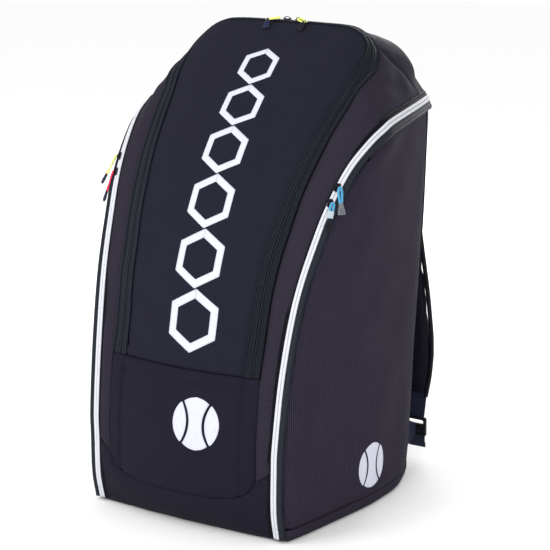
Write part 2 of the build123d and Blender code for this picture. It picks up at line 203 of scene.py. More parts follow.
def skin(name, grid, thick, outward=None):
    """A closed sheet: the grid is its outer face and its inner face lies thick below."""
    rows, cols = grid.shape[:2]
    n = normals(grid)
    if outward is not None and (n.reshape(-1, 3) @ np.array(outward, float)).mean() < 0:
        raise ValueError(f"{name} faces inwards")
    x, y = lengths(grid)
    under = grid - n * thick
    verts = np.concatenate([grid.reshape(-1, 3), under.reshape(-1, 3)])
    flat = np.stack([x, y, np.zeros_like(x)], 2).reshape(-1, 3)
    lie = np.concatenate([flat, flat])
    ids = np.arange(rows * cols).reshape(rows, cols)
    low = ids + rows * cols
    faces = []
    for r in range(rows - 1):
        for c in range(cols - 1):
            faces.append((ids[r, c], ids[r, c + 1], ids[r + 1, c + 1], ids[r + 1, c]))
            faces.append((low[r, c], low[r + 1, c], low[r + 1, c + 1], low[r, c + 1]))
    rim = (
        [ids[0, c] for c in range(cols)]
        + [ids[r, -1] for r in range(1, rows)]
        + [ids[-1, c] for c in range(cols - 2, -1, -1)]
        + [ids[r, 0] for r in range(rows - 2, 0, -1)]
    )
    for a, b in zip(rim, rim[1:] + rim[:1]):
        faces.append((a, a + rows * cols, b + rows * cols, b))
    return add_mesh(name, verts, [tuple(int(i) for i in f) for f in faces], lie)


def tube(name, rings):
    """A closed skin over rings of points, one after another."""
    rings = np.array(rings, float)
    count, size = rings.shape[:2]
    around = np.linalg.norm(np.diff(rings, axis=1, append=rings[:, :1]), axis=2)
    x = np.cumsum(around, 1) - around
    y = np.r_[0, np.cumsum(np.linalg.norm(np.diff(rings.mean(1), axis=0), axis=1))]
    lie = np.stack([x, np.repeat(y[:, None], size, 1), np.zeros_like(x)], 2)
    faces = []
    for r in range(count - 1):
        for c in range(size):
            d = (c + 1) % size
            faces.append((r * size + c, r * size + d, (r + 1) * size + d, (r + 1) * size + c))
    faces.append(tuple(range(size - 1, -1, -1)))
    faces.append(tuple(range((count - 1) * size, count * size)))
    return add_mesh(name, rings.reshape(-1, 3), faces, lie.reshape(-1, 3))


def frames(path, hint):
    """Unit tangents, sideways and outward directions along a path; hint is roughly outward."""
    t = np.gradient(path, axis=0)
    t /= np.linalg.norm(t, axis=1, keepdims=True)
    h = np.broadcast_to(np.array(hint, float), t.shape)
    n = h - (h * t).sum(1, keepdims=True) * t
    n /= np.linalg.norm(n, axis=1, keepdims=True)
    return t, np.cross(t, n), n


def squared(value, corner):
    """A sine or cosine raised so that a circle made of them turns into a rounded rectangle."""
    return np.sign(value) * np.abs(value) ** corner


def strap_rings(path, width, thick, hint, corner=0.5, size=24):
    """Rings of a flat strap along a path: rounded, of the given width and thickness."""
    _, side, out = frames(path, hint)
    width = np.broadcast_to(np.asarray(width, float), len(path))
    thick = np.broadcast_to(np.asarray(thick, float), len(path))
    turn = np.linspace(0, 2 * math.pi, size, endpoint=False)
    px, py = squared(np.cos(turn), corner), squared(np.sin(turn), corner)
    return (
        path[:, None]
        + side[:, None] * (px[None, :, None] * width[:, None, None] / 2)
        + out[:, None] * (py[None, :, None] * thick[:, None, None] / 2)
    )


def round_cord(name, path, radius, size=10):
    """A round cord along a path."""
    path = np.array(path, float)
    hint = (0.31, 0.2, 0.93)
    return tube(name, strap_rings(path, 2 * radius, 2 * radius, hint, 1.0, size))


def points_of(mesh):
    """A mesh's points in millimetres."""
    return np.array([v.co for v in mesh.vertices]) / MM


def plate(name, outline, holes, thick, bevel, place):
    """A flat moulded plate with rounded rims, from its outline and holes in the plane of place."""
    data = bpy.data.curves.new(name, "CURVE")
    data.dimensions = "2D"
    data.fill_mode = "BOTH"
    data.extrude = (thick / 2 - bevel) * MM
    data.bevel_depth = bevel * MM
    data.bevel_resolution = 2
    data.offset = -bevel * MM
    for loop in [outline, *holes]:
        line = data.splines.new("POLY")
        line.points.add(len(loop) - 1)
        for point, (x, y) in zip(line.points, loop):
            point.co = (x * MM, y * MM, 0, 1)
        line.use_cyclic_u = True
    source = linked(name + "_outline", data)
    bpy.context.view_layer.update()
    mesh = bpy.data.meshes.new_from_object(source)
    bpy.data.objects.remove(source)
    mesh.name = name
    mesh.transform(place)
    work = bmesh.new()
    work.from_mesh(mesh)
    bmesh.ops.remove_doubles(work, verts=work.verts, dist=1e-6)
    work.to_mesh(mesh)
    work.free()
    set_lie(mesh, points_of(mesh)[:, [0, 2, 1]])
    return linked(name, mesh)


def rounded(width, height, radius, shift=(0, 0), steps=6):
    """The corner points of a rounded rectangle."""
    points = []
    for k, (sx, sy) in enumerate([(1, 1), (-1, 1), (-1, -1), (1, -1)]):
        for i in range(steps + 1):
            turn = math.pi / 2 * (k + i / steps)
            x = shift[0] + sx * (width / 2 - radius) + radius * math.cos(turn)
            y = shift[1] + sy * (height / 2 - radius) + radius * math.sin(turn)
            points.append((x, y))
    return points


def placed(origin, x_dir, z_dir):
    """The matrix of a plane in metres, from an origin in millimetres and two directions."""
    z = Vector(z_dir).normalized()
    x = Vector(x_dir)
    x = (x - z * x.dot(z)).normalized()
    y = z.cross(x)
    made = Matrix((x, y, z)).transposed().to_4x4()
    made.translation = Vector(origin) * MM
    return made


def joined(name, parts):
    """Several mesh objects as one."""
    for part in bpy.context.scene.objects:
        part.select_set(part in parts)
    bpy.context.view_layer.objects.active = parts[0]
    with bpy.context.temp_override(
        active_object=parts[0], selected_editable_objects=parts, selected_objects=parts
    ):
        bpy.ops.object.join()
    parts[0].name = name
    parts[0].data.name = name
    return parts[0]


# ---- materials


def linear(colour):
    """An sRGB colour, 0 to 255, as linear light."""
    made = []
    for value in colour:
        c = value / 255
        made.append(c / 12.92 if c <= 0.04045 else ((c + 0.055) / 1.055) ** 2.4)
    return (*made, 1.0)


GLOSS = 0.1  # how much of the usual gloss cloth has
COOL = (0.78, 0.76, 1.0, 1.0)  # tint of its reflections


def tune(node, **values):
    """Sets the inputs of a shader node by name, with _ for a space."""
    for key, value in values.items():
        node.inputs[key.replace("_", " ")].default_value = value


class Finish:
    """A material whose pattern follows the cloth coordinates in the attribute lie, in millimetres."""

    def __init__(self, name, colour, rough, share=1.0, gloss=GLOSS, **sockets):
        self.made = bpy.data.materials.new(name)
        self.made.use_nodes = True
        self.tree = self.made.node_tree
        self.link = self.tree.links.new
        self.shader = self.tree.nodes["Principled BSDF"]
        self.colour = tuple(c * share for c in linear(colour)[:3]) + (1.0,)
        tune(self.shader, Base_Color=self.colour, Roughness=rough)
        tune(self.shader, Specular_IOR_Level=gloss, Specular_Tint=COOL, **sockets)
        attribute = self.tree.nodes.new("ShaderNodeAttribute")
        attribute.attribute_name = "lie"
        self.lie = attribute.outputs["Vector"]
        split = self.tree.nodes.new("ShaderNodeSeparateXYZ")
        self.link(self.lie, split.inputs[0])
        self.x, self.y = split.outputs[0], split.outputs[1]

    def math(self, operation, a, b=None, c=None):
        """The output of a maths node."""
        node = self.tree.nodes.new("ShaderNodeMath")
        node.operation = operation
        for socket, value in zip(node.inputs, (a, b, c)):
            if value is None:
                continue
            if isinstance(value, (int, float)):
                socket.default_value = value
            else:
                self.link(value, socket)
        return node.outputs[0]

    def wave(self, along, pitch, sharp=1.0):
        """A wave from 0 to 1 with that pitch in millimetres."""
        raw = self.math("SINE", self.math("MULTIPLY", along, 2 * math.pi / pitch))
        lifted = self.math("MULTIPLY_ADD", raw, 0.5, 0.5)
        return lifted if sharp == 1 else self.math("POWER", lifted, sharp)

    def slanted(self, ax, ay):
        """x times ax plus y times ay."""
        return self.math("ADD", self.math("MULTIPLY", self.x, ax), self.math("MULTIPLY", self.y, ay))

    def texture(self, kind, size):
        """A texture node whose pattern is about size millimetres wide."""
        node = self.tree.nodes.new(kind)
        scaled = self.tree.nodes.new("ShaderNodeVectorMath")
        scaled.operation = "MULTIPLY"
        scaled.inputs[1].default_value = [1 / size] * 3
        self.link(self.lie, scaled.inputs[0])
        self.link(scaled.outputs[0], node.inputs["Vector"])
        tune(node, Scale=1.0)
        return node

    def noise(self, size, detail=3.0):
        """A cloud pattern from 0 to 1, its lumps about size millimetres."""
        node = self.texture("ShaderNodeTexNoise", size)
        tune(node, Detail=detail)
        return node.outputs["Fac"]

    def cells(self, size):
        """A net of almost regular cells of that size: the distance from each one's middle."""
        node = self.texture("ShaderNodeTexVoronoi", size)
        tune(node, Randomness=0.12)
        return node.outputs["Distance"]

    def ramp(self, factor, low, high):
        """From low where factor is 0 to high where it is 1."""
        node = self.tree.nodes.new("ShaderNodeMapRange")
        tune(node, To_Min=low, To_Max=high)
        self.link(factor, node.inputs["Value"])
        return node.outputs[0]

    def tint(self, factor, darker, lighter):
        """The base colour times darker where factor is 0, up to lighter where it is 1."""
        times = self.ramp(factor, darker, lighter)
        scale = self.tree.nodes.new("ShaderNodeVectorMath")
        scale.operation = "MULTIPLY"
        socket = self.shader.inputs["Base Color"]
        if socket.is_linked:
            self.link(socket.links[0].from_socket, scale.inputs[0])
        else:
            scale.inputs[0].default_value = self.colour[:3]
        self.link(times, scale.inputs[1])
        self.link(scale.outputs[0], socket)

    def roughen(self, factor, low, high):
        """The roughness from low to high by the factor."""
        self.link(self.ramp(factor, low, high), self.shader.inputs["Roughness"])

    def bump(self, height, depth):
        """A relief of that depth in millimetres, on top of those added before."""
        node = self.tree.nodes.new("ShaderNodeBump")
        tune(node, Strength=1.0, Distance=depth * MM)
        self.link(height, node.inputs["Height"])
        socket = self.shader.inputs["Normal"]
        if socket.is_linked:
            self.link(socket.links[0].from_socket, node.inputs["Normal"])
        self.link(node.outputs[0], socket)


def woven(name, colour, rough, pitch, depth, contrast=0.10, **sockets):
    """Plain woven cloth: two crossing yarns, slightly uneven colour."""
    made = Finish(name, colour, rough, **sockets)
    weave = made.math("MULTIPLY", made.wave(made.x, pitch), made.wave(made.y, pitch))
    made.tint(made.noise(38), 1 - contrast, 1 + contrast)
    made.tint(made.noise(1.7, 2.0), 0.88, 1.12)
    made.tint(weave, 0.86, 1.14)
    made.roughen(made.noise(22), rough - 0.06, rough + 0.06)
    made.bump(weave, depth)
    made.bump(made.noise(9, 4.0), 0.25)
    return made.made


def ribbed(name, colour, rough, direction, pitch, depth, contrast=0.12, ribs=(0.6, 1.46), **sockets):
    """Shiny cloth with fine ribs in one direction across its coordinates."""
    made = Finish(name, colour, rough, **sockets)
    across = made.slanted(*direction)
    rib = made.wave(across, pitch, 1.4)
    broken = made.math("MULTIPLY", rib, made.math("MULTIPLY_ADD", made.noise(5, 2.0), 0.7, 0.55))
    made.tint(made.noise(45), 1 - contrast, 1 + contrast)
    made.tint(broken, *ribs)
    made.roughen(made.noise(30), rough - 0.07, rough + 0.07)
    made.bump(broken, depth)
    made.bump(made.noise(14, 4.0), 0.4)
    return made.made


def netted(name, colour, rough, size, depth):
    """Spacer mesh: a net of small round holes."""
    made = Finish(name, colour, rough, share=0.5)
    hole = made.cells(size)
    made.tint(hole, 0.45, 1.7)
    made.tint(made.noise(40), 0.92, 1.08)
    made.bump(hole, depth)
    return made.made


def strapping(name, colour, rough, pitch=2.2, depth=0.28, **sockets):
    """Webbing: herringbone yarns along its length."""
    made = Finish(name, colour, rough, **sockets)
    zig = made.math("PINGPONG", made.x, 3.0)
    chevron = made.wave(made.math("ADD", made.y, made.math("MULTIPLY", zig, 0.8)), pitch)
    yarn = made.math("MULTIPLY", chevron, made.wave(made.x, 1.5))
    made.tint(yarn, 0.78, 1.22)
    made.tint(made.noise(20), 0.93, 1.07)
    made.bump(yarn, depth)
    return made.made


def toothed(name, colour, rough, pitch, depth, light=1.35, **sockets):
    """Zipper tape: fine lines along it with the coil's teeth across."""
    made = Finish(name, colour, rough, **sockets)
    tooth = made.wave(made.y, pitch, 0.7)
    line = made.wave(made.x, 1.1)
    made.tint(tooth, 0.72, light)
    made.tint(line, 0.9, 1.1)
    made.tint(made.noise(30), 0.92, 1.08)
    made.bump(tooth, depth)
    return made.made


def moulded(name, colour, rough, grain=0.9, **sockets):
    """Moulded plastic or rubber with a fine grain and slightly uneven colour and roughness."""
    made = Finish(name, colour, rough, **sockets)
    made.tint(made.noise(6), 0.9, 1.1)
    made.roughen(made.noise(3), max(rough - 0.08, 0.05), rough + 0.1)
    made.bump(made.noise(grain, 2.0), 0.06)
    return made.made


def braided(name, colour):
    """Thin round cord with a braid."""
    made = Finish(name, colour, 0.6, Sheen_Weight=0.2)
    a = made.wave(made.slanted(1.0, 1.0), 1.3)
    b = made.wave(made.slanted(1.0, -1.0), 1.3)
    weave = made.math("MAXIMUM", a, b)
    made.tint(weave, 0.75, 1.15)
    made.bump(weave, 0.2)
    return made.made


MAIN = woven("main_cloth", (44, 44, 58), 0.7, 1.1, 0.16, share=0.54, gloss=0.05)
LOWER = woven("lower_cloth", (41, 39, 53), 0.66, 1.1, 0.16, share=0.5, gloss=0.06)
GUSSET = ribbed(
    "gusset_cloth", (54, 50, 62), 0.58, (0.35, 0.94), 2.6, 0.3, ribs=(0.78, 1.26), share=0.64, gloss=0.02
)
FLANK = ribbed("side_cloth", (54, 49, 63), 0.6, (1.0, 0.1), 2.6, 0.34, share=0.68, gloss=0.02)
BACKING = woven("back_cloth", (40, 39, 50), 0.7, 1.4, 0.2, share=0.6)
LINING = woven("lining_cloth", (58, 60, 68), 0.55, 0.7, 0.06)
TAPE = toothed("zip_tape", (36, 43, 50), 0.5, 1.6, 0.3, share=0.5, gloss=0.2)
DARK = toothed("dark_tape", (27, 27, 34), 0.6, 1.4, 0.2, share=0.3)
WHITE = toothed("white_coil", (212, 213, 220), 0.5, 1.5, 0.16, light=1.02)
PRINT = moulded("silver_print", (196, 198, 210), 0.5)
NET = netted("back_net", (30, 30, 40), 0.75, 3.6, 0.8)
STRAP = netted("strap_net", (34, 34, 46), 0.72, 2.6, 0.5)
BINDING = strapping("edge_binding", (22, 22, 30), 0.6, 1.6, 0.16, share=0.4)
WEBBING = strapping("strap_webbing", (46, 50, 70), 0.55, share=0.7)
PALE = moulded("pale_rubber", (168, 180, 186), 0.45)
PLASTIC = moulded("black_plastic", (24, 24, 29), 0.38)
METAL = moulded("slider_metal", (34, 34, 38), 0.3, Metallic=0.75)
BOARD = moulded("board", (60, 60, 62), 0.6)
YELLOW = braided("cord_yellow", (228, 233, 120))
RED = braided("cord_red", (232, 48, 84))
BLUE = braided("cord_blue", (70, 146, 184))
GREY_END = moulded("grey_rubber", (104, 108, 112), 0.45)
NAVY_END = moulded("navy_rubber", (38, 42, 66), 0.4)
BLACK_END = moulded("black_rubber", (28, 28, 34), 0.36)


def show(obj, material, body, slot, *nodes):
    """Gives a piece its finish and body, and hides the CAD nodes it stands for. The slot is not used."""
    obj.data.materials.clear()
    obj.data.materials.append(material)
    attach(obj, body)
    if nodes:
        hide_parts(*nodes)
    return obj


# ---- the bag's main lines, right side

# Flap edge, outer zipper edge
BAND = [
    ((87, -157, 195.3), (109.5, -154.5, 195.3)),
    ((88, -147, 240), (110, -143.5, 240)),
    ((90, -138, 289), (112, -133.8, 289)),
    ((92, -126, 328), (114.5, -121, 328)),
    ((96, -114, 359), (118, -108.5, 359)),
    ((101, -93, 402), (122.5, -88, 402)),
    ((107, -70, 438), (127.5, -64.5, 438)),
    ((112.5, -44, 470), (132, -38.5, 471.5)),
    ((118, -18, 500), (136.5, -13, 498)),
    ((123, 0, 520), (140, 1, 515)),
    ((126, 20, 538), (140.5, 22, 527)),
    ((126, 37, 552), (137, 49, 536)),
    ((121, 50, 563.5), (129, 67, 549)),
    ((111, 57, 573.5), (115, 77, 562.5)),
    ((97, 60.5, 580), (98, 80.5, 573.5)),
    ((80, 62, 583), (80, 81, 579.5)),
    ((40, 62, 584), (40, 81.5, 580.5)),
    ((0, 62, 584), (0, 81.5, 581)),
]
CORNER = 12  # the row of BAND at the flap's top corner

# Border and gusset: zipper side, side-zip side
BORDER = [
    ((110.2, -164, 73), (129, -159.5, 84)),
    ((110.2, -163, 125), (129.5, -158, 125)),
    ((110.2, -155.5, 190), (131.5, -149, 195)),
    ((110.5, -143.5, 240), (135.5, -138, 245)),
    ((112.5, -133.8, 289), (138.5, -128.5, 291)),
    ((115, -121, 328), (142.5, -114.5, 330)),
    ((118.5, -108.5, 359), (147, -101, 361)),
    ((123, -88, 402), (154.5, -80, 402)),
    ((128, -64.5, 438), (161, -55, 436.5)),
    ((132.5, -38.5, 471.5), (169, -26, 462.5)),
    ((137, -13, 498), (174, -3, 476.5)),
    ((140.5, 1, 515), (173.5, 14, 483.5)),
    ((141, 22, 527), (169.5, 42, 488)),
    ((137.5, 49, 536), (162, 80, 491)),
    ((129.5, 67, 549), (155, 110, 493)),
    ((118.3, 76, 560), (147, 138, 493)),
]

# Middle line of the side zip, towards the front or top, towards the side
SIDE_ZIP = [
    ((132, -151, 5), (-1, -0.12, 0), (0.22, 0.97, 0)),
    ((132.5, -157.5, 38), (-0.98, -0.2, 0), (0.22, 0.97, 0)),
    ((133, -158, 85), (-0.98, -0.2, 0), (0.22, 0.97, 0)),
    ((134, -157, 122), (-0.98, -0.2, 0), (0.23, 0.97, 0)),
    ((137, -146, 205), (-0.98, -0.17, 0), (0.25, 0.97, 0)),
    ((143, -127, 289), (-0.97, -0.2, 0), (0.25, 0.97, 0)),
    ((152, -99, 359), (-0.96, -0.25, 0), (0.2, 0.98, 0)),
    ((159, -78, 400), (-0.95, -0.26, 0.05), (0.17, 0.98, 0)),
    ((166, -53, 434.5), (-0.93, -0.2, 0.15), (0.14, 0.98, -0.1)),
    ((174.5, -24, 460.5), (-0.85, 0.0, 0.45), (0.1, 0.85, -0.5)),
    ((178.5, 0, 474), (-0.66, 0.1, 0.7), (0.04, 0.2, -1)),
    ((177, 20, 480), (-0.6, 0.05, 0.8), (0.02, 0, -1)),
    ((166.5, 76, 486), (-0.55, 0, 0.84), (0.02, 0, -1)),
    ((153, 125, 488.5), (-0.5, 0, 0.87), (0.02, 0, -1)),
    ((140, 162, 489), (-0.5, 0, 0.87), (0.02, 0, -1)),
]

# Back corner of the bag, from the base up
BASE_TOP = 17.0
BACK_EDGE = [
    (108, 170, 16), (113, 170, 56), (118, 170, 125), (123.5, 170, 205), (129.5, 170, 289),
    (133.5, 170, 359), (136.5, 169.5, 438), (138.5, 167, 475), (140, 162, 489),
]

# Seam behind the gusset, from the ridge down
REAR_SEAM = [(118.3, 77, 560), (128, 94, 544.5), (136, 113, 523), (143, 130, 504), (147, 138, 493)]

# Lower front: curved seam across it, from the middle to the right
CURVED_SEAM = [
    (0, -178.3, 44), (40, -176.5, 44.5), (65, -173.3, 46), (88, -169, 51), (102, -166, 60.5),
    (110.2, -164, 73), (129, -159.5, 84),
]
HINGE_LINE = [(0, -166.2, 194.8), (45, -163.5, 194.8), (87, -157, 194.8), (110.2, -154.5, 194.8)]


def both(points):
    """A line from the left to the right from its right half, which starts in the middle."""
    points = np.array(points, float)
    return np.vstack([mirrored(points[:0:-1], -1), points])


def symmetric(low, high, edge, across, along):
    """A grid across the bag from the right halves of its low and high edges and its right edge."""
    return coons(both(low), both(high), mirrored(edge, -1), edge, across, along)


# ---- flap with its lining

flap_edge = [a for a, _ in BAND[: CORNER + 1]]
flap_top = [a for a, _ in BAND[: CORNER - 1 : -1]]
hinge_half = [(0, -166.2, 195.3), (45, -163.5, 195.3), (87, -157, 195.3)]
flap = symmetric(hinge_half, flap_top, flap_edge, 90, 150)
y_flap = lengths(flap)[1]
fold = 1.4 * np.exp(-(((y_flap - 7) / 3.5) ** 2)) - 0.9 * np.exp(-(((y_flap - 15) / 4) ** 2))
flap = sewn(flap, 4.5, 1.6, 5, 0.7, (150, 190), 11, extra=fold, seams=(0.25, 1, 1, 1))
show(skin("flap_cloth", flap, FRONT_THICK, (0, -1, 0.4)), MAIN, "flap", "main_fabric", "front_flap")
lining = sewn(flap[3:-3, 3:-3], 0, 0, 5, 0.5, (70, 90), 12)
lining = lining - normals(lining) * 3.4
show(skin("flap_lining_cloth", lining, LINING_THICK), LINING, "flap", "lining", "front_flap_lining")

# ---- main zipper


def band_rails(shares):
    """Curves round the whole opening at those shares of the way from the flap to the bag."""
    rails = []
    for share in shares:
        line = [np.array(a) * (1 - share) + np.array(c) * share for a, c in BAND]
        rails.append(np.vstack([mirrored(line[:-1], -1), line[::-1]]))
    return rails


def profiled(rails, across, along, profile):
    """A strip over rails raised by a profile of (place from 0 to 1, height) across it."""
    grid = loft(rails, across, along)
    place = np.linspace(0, 1, across + 1)
    at, height = zip(*profile)
    return grid - normals(grid) * np.interp(place, at, height)[None, :, None]


# Heights across each half of the band, from the flap or from the coil: cord edges, ribs and grooves
FLAP_HALF = [
    (0, -1.2), (0.06, 0.9), (0.16, 1.2), (0.24, -0.7), (0.34, 0.7), (0.42, 0.7), (0.5, -0.6), (0.58, 0.7),
    (0.66, 0.7), (0.74, -0.6), (0.82, 1.8), (0.94, 1.9), (1, 0.3),
]
OUTER_HALF = [
    (0, 0.3), (0.06, 1.9), (0.18, 1.8), (0.26, -0.6), (0.34, 0.7), (0.42, 0.7), (0.5, -0.6), (0.58, 0.7),
    (0.66, 0.6), (0.76, -0.9), (0.84, 1.6), (0.93, 2.1), (1, -0.8),
]
flap_strip = profiled(band_rails([0.0, 0.25, 0.485]), 40, 420, FLAP_HALF)
outer_strip = profiled(band_rails([0.505, 0.75, 1.0]), 40, 420, OUTER_HALF)
for half, body, strip, node in (("flap", "flap", flap_strip, "flap"), ("bag", "bag", outer_strip, "outer")):
    piece = skin(f"main_zip_{half}_half", strip[:, ::-1], MAIN_ZIP_THICK)
    show(piece, TAPE, body, "zipper_tape", f"main_zipper_{node}_tape")

# ---- lower front

side_edge = [(110.2, -164, 73), (110.2, -163, 125), (110.2, -160, 160), (110.2, -154.5, 194.8)]
lower = symmetric(CURVED_SEAM[:-1], HINGE_LINE, side_edge, 120, 70)
groove_at = np.abs(np.abs(lower[..., 0]) - 88.5)
grooves = -1.8 * np.exp(-((groove_at / 2.2) ** 2))
strip_swell = 0.6 * np.exp(-(((np.abs(lower[..., 0]) - 99) / 8) ** 2))
from_top = 194.8 - lower[..., 2]
folds = 1.6 * np.exp(-(((from_top - 8) / 4) ** 2)) - 1.5 * np.exp(-(((from_top - 17) / 3) ** 2))
folds = folds * (np.abs(lower[..., 0]) < 90)
relief = grooves + strip_swell + folds
lower = sewn(lower, 2.6, 1.6, 4, 0.6, (120, 90), 21, extra=relief, seams=(1, 0.25, 1, 1))
piece = skin("lower_front_cloth", lower, FRONT_THICK, (0, -1, 0))
show(piece, LOWER, "bag", "main_fabric", "front_lower_panel")

bottom_low = [(0, -158, 4), (60, -156.5, 4), (100, -154, 4), (128, -150.5, 4)]
bottom_edge = [(128, -150.5, 4), (129, -156.5, 30), (129, -159.5, 56), (129, -159.5, 84)]
bottom = symmetric(bottom_low, CURVED_SEAM, bottom_edge, 110, 34)
bottom = sewn(bottom, 1.6, 1.4, 4, 0.7, (70, 60), 22)
piece = skin("bottom_front_cloth", bottom, FRONT_THICK, (0, -1, 0))
show(piece, LOWER, "bag", "main_fabric", "front_bottom_panel")

# ---- borders and gussets

for hand, side in SIDES.items():
    near = mirrored([c for c, _ in BORDER], side)
    far = mirrored([p for _, p in BORDER], side)
    middle = (near + far) / 2 + mirrored([(0.5, -0.8, 0.6)], side)
    middle[-1] = mirrored(REAR_SEAM[2], side)
    rails = [near, middle, far] if side > 0 else [far, middle, near]
    grid = loft(rails, 30, 240)
    x_edge, y_edge = lengths(grid)
    high = np.clip((grid[..., 2] - 480) / 60, 0, 1)
    slack = 1.8 * high * ripple(x_edge, y_edge, (38, 50), 31 + side)
    slack = slack * (1 - np.exp(-edge_distance(grid) / 9))
    grid = sewn(grid, 1.6, 1.3, 4, 0.5, (50, 120), 33 + side, extra=slack)
    piece = skin(f"{hand}_gusset_cloth", grid, FRONT_THICK, (side * 0.5, -1, 0.4))
    nodes = (f"front_border_{hand}", f"shoulder_gusset_{hand}")
    show(piece, GUSSET, "bag", "main_fabric", *nodes)

# ---- rear of the hood, back, base

# Lines down the rear of the hood, from its middle towards its right
REAR_LINES = [
    [(0, 82, 581.5), (0, 100, 577), (0, 118, 571), (0, 145, 561), (0, 163, 546), (0, 170, 528)],
    [(78, 82, 580), (78, 100, 573.5), (77, 120, 567), (77, 144, 559), (77, 162, 547), (77, 170, 529)],
    [(100, 81, 573), (102, 99, 566.5), (103, 120, 560), (102, 142, 554), (102, 158, 543), (105, 169, 526)],
    [
        (111, 79, 565.5), (118.5, 98, 555), (122.5, 119, 546), (124, 139, 537), (124, 153, 526),
        (121, 163, 511),
    ],
]
BACK_TOP = [(0, 171, 515), (78, 171, 513), (107, 171, 509), (129, 169, 499), (140, 162, 489)]
rear_right = [np.array(line + [foot]) for line, foot in zip(REAR_LINES, BACK_TOP)]
rear_right.append(spline(REAR_SEAM, 6))
rear_lines = [mirrored(line, -1) for line in rear_right[:0:-1]] + rear_right
rear = loft(rear_lines, 90, 50)
rear = sewn(rear, 1.0, 1.2, 4, 0.9, (60, 60), 41)
show(skin("rear_top_cloth", rear, SIDE_THICK, (0, 1, 1)), GUSSET, "bag", "main_fabric", "top_panel")

back_low = [(0, 170, 16), (60, 170, 16), (108, 170, 16)]
back = symmetric(back_low, BACK_TOP, BACK_EDGE, 70, 110)[:, ::-1]
back = sewn(back, -0.6, 1.0, 4, 0.2, (80, 80), 42)
show(skin("back_cloth", back, 2.8, (0, 1, 0)), BACKING, "bag", "main_fabric", "back_panel")

# The base's outline from its front corner to its back corner, and whole
BASE_SIDE = [(148, -137), (151, -100), (153.5, -40), (154.5, 26), (147.5, 85)]
outline_right = [(0, -158), (60, -156.5), (100, -154), (142, -150.5), *BASE_SIDE]
outline_right += [(131.5, 135), (109, 168), (60, 170), (0, 170)]
outline = outline_right + [(-x, y) for x, y in outline_right[-2:0:-1]]
loop = spline([(x, y, 0) for x, y in outline + outline[:1]], 240)[:-1]
centre = np.array([0, 5, 0])
# Rows of the base's outer face: share of the way from its middle to the outline, height
BASE_ROWS = [
    (0.5, 1.6), (0.9, 0.9), (0.95, 0.8), (0.975, 2.0), (0.99, 5), (0.998, 10), (0.998, 14),
    (0.996, 16.4),
]
wobble = ripple(loop[:, 0], loop[:, 1], (46, 46), 51)[:, None]
base_rows = []
for share, height in BASE_ROWS:
    low_share = math.sin(math.pi * min(height / BASE_TOP, 1))
    ring = centre + (loop - centre) * (share + 0.006 * low_share * wobble)
    base_rows.append(ring + np.array([0, 0, height]))
for share, height in ((0.978, 15.6), (0.97, 4.5)):
    base_rows.append(centre + (loop - centre) * share + np.array([0, 0, height]))
show(tube("base_cloth", base_rows), FLANK, "bag", "main_fabric", "base_panel")

# ---- side panels and their zips

# Heights across a half of a side zip: distance from its middle, height
WHITE_HALF = [(0.2, 0.7), (0.3, 1.5), (1.1, 2.1), (1.9, 1.6), (2.9, 1.7), (3.6, 1.3), (3.9, 0.5)]
TAPE_HALF = [(3.4, 0.2), (4.4, 0.9), (5.6, 0.8), (6.6, 0.1), (7.6, 0.9), (9.0, 0.9), (9.8, -0.4)]
DOOR_TAPE = [(3.4, 0.2), (4.4, 0.9), (6.0, 0.8), (6.8, 0.1), (7.6, 0.9), (9.4, 0.9)]
DOOR_TAPE += [(10.2, 0.2), (11.0, 1.0), (12.8, 1.1), (14.2, -0.9)]
EDGE_TURN = 176  # the row of a side zip where the door's front edge becomes its top edge
# A partition: height and depth of its front edge, then of its back edge
PARTITION_FRONT = [
    (0, -145), (56, -162), (125, -158), (205, -146), (289, -130), (359, -106), (438, -62), (478, -30),
    (500, -8), (528, 24), (548, 46),
]
PARTITION_X = 97.0
PARTITION_BACK = [(0, 162), (530, 162), (548, 150), (552, 140)]

